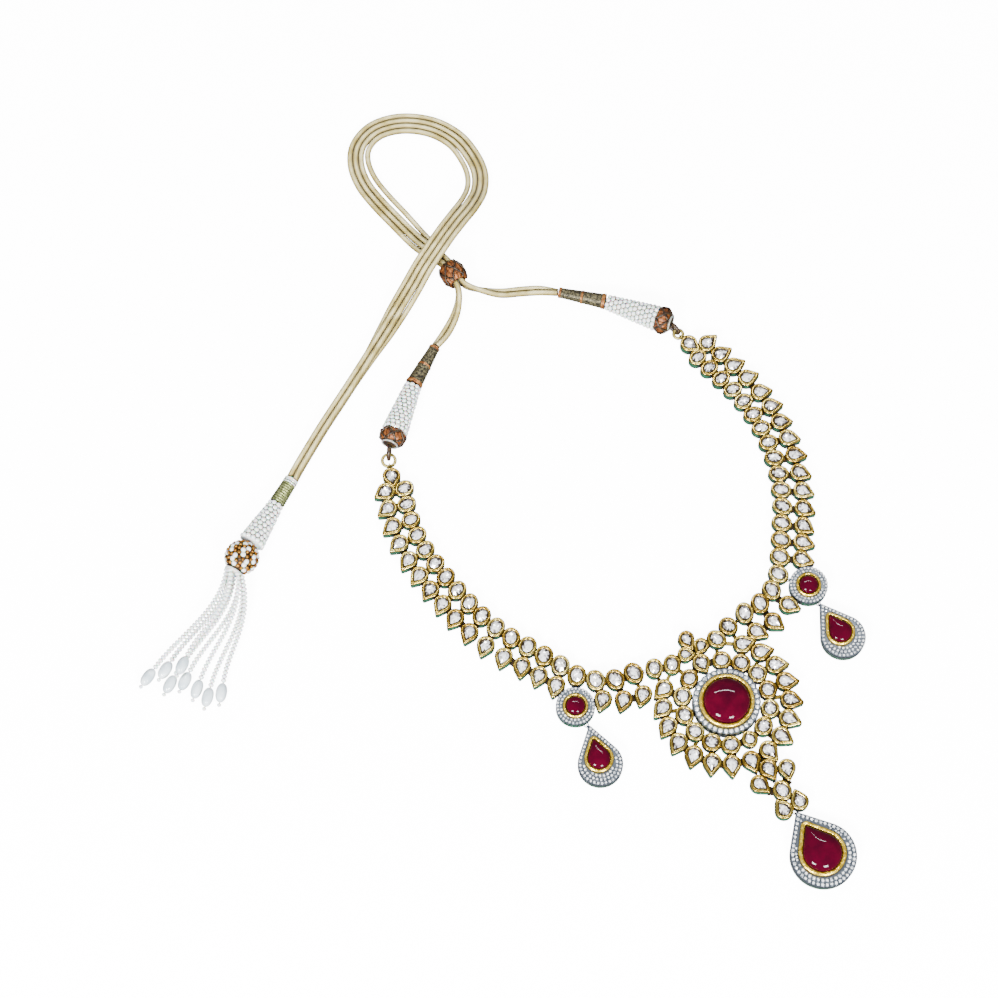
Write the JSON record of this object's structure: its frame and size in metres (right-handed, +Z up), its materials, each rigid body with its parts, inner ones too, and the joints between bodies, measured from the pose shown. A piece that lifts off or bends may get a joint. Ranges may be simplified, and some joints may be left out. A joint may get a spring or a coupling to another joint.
{
  "type": "kundan necklace",
  "caption": "Kundan necklace with ruby medallion and drops, two strands of bezel-set polki, and silk tying cords with a slider and bead tassel.",
  "frame": {"origin": "on the surface, below the middle of the box round the jewelled part and its thread ends, without the slider, cords and tassel", "axes": "+Z up from the surface through the stones, +Y from the medallion to the slider, +X toward the right strand as seen from above"},
  "size_m": [0.2798, 0.373, 0.0141],
  "materials": {
    "gold": "polished yellow gold with worn rims",
    "polki": "uncut diamond, foil-backed",
    "ruby": "polished cabochon",
    "small_stone": "bright-set small stones",
    "silk": "twisted silk cord",
    "copper_thread": "metallic thread under dark net",
    "dark_wire": "dark bronze metallic thread",
    "seed_bead": "glossy",
    "pearl": "pearly"
  },
  "bodies": {
    "root": {"medallion_frame": "gold", "medallion_stones": "polki", "centre_halo": "small_stone", "centre_ruby": "ruby", "left_strand_links": "gold", "right_strand_links": "gold", "left_strand_stones": "polki", "right_strand_stones": "polki", "left_round_halo": "small_stone", "right_round_halo": "small_stone", "left_round_ruby": "ruby", "right_round_ruby": "ruby", "left_drop_halo": "small_stone", "right_drop_halo": "small_stone", "left_drop_ruby": "ruby", "right_drop_ruby": "ruby", "pendant_link": "gold", "pendant_stones": "polki", "main_drop_halo": "small_stone", "main_drop_ruby": "ruby", "left_end_ring": "gold", "right_end_ring": "gold", "left_thread_cap": "copper_thread", "right_thread_cap": "copper_thread", "left_bead_sleeve": "seed_bead", "right_bead_sleeve": "seed_bead", "left_binding": "dark_wire", "right_binding": "dark_wire", "slider": "copper_thread", "cord_1": "silk", "cord_2": "silk", "cord_3": "silk", "cord_4": "silk", "tassel_binding": "dark_wire", "tassel_sleeve": "seed_bead", "tassel_ball": "seed_bead", "tassel_strands": "seed_bead", "tassel_pearls": "pearl"}
  },
  "joints": []
}
